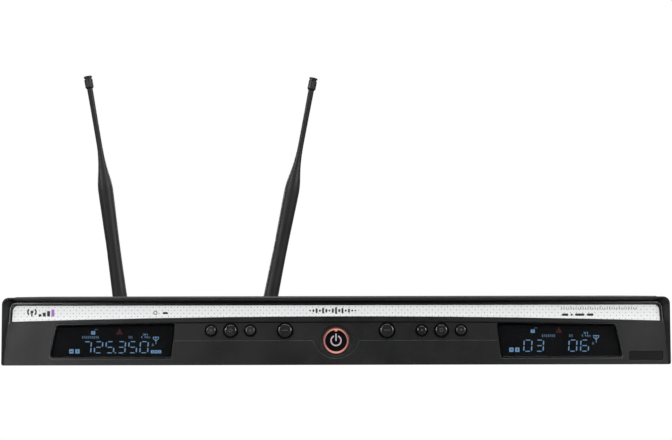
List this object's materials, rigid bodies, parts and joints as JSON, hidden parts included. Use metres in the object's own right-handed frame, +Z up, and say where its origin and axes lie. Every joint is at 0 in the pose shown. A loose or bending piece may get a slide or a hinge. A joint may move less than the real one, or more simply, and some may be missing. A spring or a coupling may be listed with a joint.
{
  "type": "wireless receiver unit",
  "caption": "Slim rack-width wireless receiver with a leaning front panel, display windows, push buttons, a lit power ring and hinged whip antennas behind.",
  "frame": {"origin": "on the table, under the middle of the whole object's width and depth, antennas included", "axes": "+X to the right seen from the front, along the front panel; +Y to the rear; +Z up"},
  "size_m": [0.43, 0.2316, 0.2065],
  "materials": {
    "case_paint": "fine textured black powder coat",
    "bezel_plastic": "satin black moulding",
    "trim_silver": "pale silver paint",
    "ir_plastic": "gloss",
    "plate_plastic": "satin",
    "display_window": "clear smoke tint",
    "lcd_glass": "gloss",
    "backlight_plastic": "matt",
    "ring_glow": "frosted, lit",
    "circuit_board": "solder resist",
    "switch_plastic": "matt",
    "tinned_steel": "satin tin",
    "chip_resin": "matt",
    "capacitor_sleeve": "gloss sleeve",
    "brass": "turned",
    "screw_steel": "zinc plated",
    "black_screw": "black oxide",
    "foot_rubber": "matt",
    "cable_grey": "matt",
    "nickel": "nickel plate",
    "white_insulator": "matt",
    "lead_sheath": "matt",
    "connector_metal": "black plated",
    "contact_gold": "gold plate",
    "connector_plastic": "satin",
    "button_plastic": "satin",
    "power_plastic": "satin",
    "symbol_glow": "frosted, lit",
    "knuckle_plastic": "satin",
    "whip_rubber": "soft touch",
    "tip_plastic": "satin"
  },
  "bodies": {
    "body": {"base_tray": "case_paint", "rear_panel": "case_paint", "top_cover": "case_paint", "front_bezel": "bezel_plastic", "trim_strip": "trim_silver", "ir_window": "ir_plastic", "name_plate": "plate_plastic", "left_display_window": "display_window", "right_display_window": "display_window", "left_lcd_glass": "lcd_glass", "right_lcd_glass": "lcd_glass", "lcd_backlights": "backlight_plastic", "power_ring": "ring_glow", "control_board": "circuit_board", "tact_switches": "switch_plastic", "main_board": "circuit_board", "tuner_shields": "tinned_steel", "signal_chips": "chip_resin", "capacitors": "capacitor_sleeve", "board_standoffs": "brass", "board_screws": "screw_steel", "cover_screws": "black_screw", "rubber_feet": "foot_rubber", "ribbon_cable": "cable_grey", "ribbon_headers": "switch_plastic", "antenna_jack_a": "nickel", "antenna_jack_b": "nickel", "antenna_jack_nuts": "nickel", "jack_insulators": "white_insulator", "antenna_lead_a": "lead_sheath", "antenna_lead_b": "lead_sheath", "xlr_output_a": "connector_metal", "xlr_output_b": "connector_metal", "xlr_pins": "contact_gold", "pan_head_screws": "black_screw", "mix_output_jack": "connector_plastic", "mix_output_nut": "nickel", "dc_inlet": "connector_plastic"},
    "left_sync_button": {"left_sync_button": "button_plastic"},
    "left_up_button": {"left_up_button": "button_plastic"},
    "left_set_button": {"left_set_button": "button_plastic"},
    "left_down_button": {"left_down_button": "button_plastic"},
    "right_sync_button": {"right_sync_button": "button_plastic"},
    "right_up_button": {"right_up_button": "button_plastic"},
    "right_set_button": {"right_set_button": "button_plastic"},
    "right_down_button": {"right_down_button": "button_plastic"},
    "power_button": {"power_button": "power_plastic", "power_symbol": "symbol_glow"},
    "antenna_collar_a": {"antenna_collar_a": "nickel"},
    "antenna_elbow_a": {"antenna_plug_a": "nickel", "antenna_knuckle_a": "knuckle_plastic", "antenna_hinge_pin_a": "screw_steel"},
    "antenna_whip_a": {"antenna_whip_a": "whip_rubber", "antenna_tip_a": "tip_plastic"},
    "antenna_collar_b": {"antenna_collar_b": "nickel"},
    "antenna_elbow_b": {"antenna_plug_b": "nickel", "antenna_knuckle_b": "knuckle_plastic", "antenna_hinge_pin_b": "screw_steel"},
    "antenna_whip_b": {"antenna_whip_b": "whip_rubber", "antenna_tip_b": "tip_plastic"}
  },
  "joints": [
    {"name": "left_sync_press", "type": "slide", "parent": "body", "child": "left_sync_button", "axis": [0, 0.9956, -0.0941], "range_m": [0, 0.0005], "stiffness_N_per_m": 800, "springref_m": -0.0005},
    {"name": "left_up_press", "type": "slide", "parent": "body", "child": "left_up_button", "axis": [0, 0.9956, -0.0941], "range_m": [0, 0.0005], "stiffness_N_per_m": 800, "springref_m": -0.0005},
    {"name": "left_set_press", "type": "slide", "parent": "body", "child": "left_set_button", "axis": [0, 0.9956, -0.0941], "range_m": [0, 0.0005], "stiffness_N_per_m": 800, "springref_m": -0.0005},
    {"name": "left_down_press", "type": "slide", "parent": "body", "child": "left_down_button", "axis": [0, 0.9956, -0.0941], "range_m": [0, 0.0005], "stiffness_N_per_m": 800, "springref_m": -0.0005},
    {"name": "right_sync_press", "type": "slide", "parent": "body", "child": "right_sync_button", "axis": [0, 0.9956, -0.0941], "range_m": [0, 0.0005], "stiffness_N_per_m": 800, "springref_m": -0.0005},
    {"name": "right_up_press", "type": "slide", "parent": "body", "child": "right_up_button", "axis": [0, 0.9956, -0.0941], "range_m": [0, 0.0005], "stiffness_N_per_m": 800, "springref_m": -0.0005},
    {"name": "right_set_press", "type": "slide", "parent": "body", "child": "right_set_button", "axis": [0, 0.9956, -0.0941], "range_m": [0, 0.0005], "stiffness_N_per_m": 800, "springref_m": -0.0005},
    {"name": "right_down_press", "type": "slide", "parent": "body", "child": "right_down_button", "axis": [0, 0.9956, -0.0941], "range_m": [0, 0.0005], "stiffness_N_per_m": 800, "springref_m": -0.0005},
    {"name": "power_press", "type": "slide", "parent": "body", "child": "power_button", "axis": [0, 0.9956, -0.0941], "range_m": [0, 0.0006], "stiffness_N_per_m": 800, "springref_m": -0.0005},
    {"name": "antenna_collar_a_turn", "type": "hinge", "parent": "body", "child": "antenna_collar_a", "pos_m": [-0.1555, 0.1102, 0.0225], "axis": [0, 1, 0], "range_deg": [0, 90]},
    {"name": "antenna_a_swivel", "type": "hinge", "parent": "body", "child": "antenna_elbow_a", "pos_m": [-0.1555, 0.1102, 0.0225], "axis": [0, 1, 0], "range_deg": [-82.37, 19.63]},
    {"name": "antenna_a_tilt", "type": "hinge", "parent": "antenna_elbow_a", "child": "antenna_whip_a", "pos_m": [-0.1555, 0.1102, 0.0225], "axis": [-0.9911, 0, -0.1328], "range_deg": [0, 90]},
    {"name": "antenna_collar_b_turn", "type": "hinge", "parent": "body", "child": "antenna_collar_b", "pos_m": [-0.052, 0.1102, 0.0225], "axis": [0, 1, 0], "range_deg": [0, 90]},
    {"name": "antenna_b_swivel", "type": "hinge", "parent": "body", "child": "antenna_elbow_b", "pos_m": [-0.052, 0.1102, 0.0225], "axis": [0, 1, 0], "range_deg": [-23.29, 78.71]},
    {"name": "antenna_b_tilt", "type": "hinge", "parent": "antenna_elbow_b", "child": "antenna_whip_b", "pos_m": [-0.052, 0.1102, 0.0225], "axis": [-0.9806, 0, 0.1958], "range_deg": [0, 90]}
  ]
}
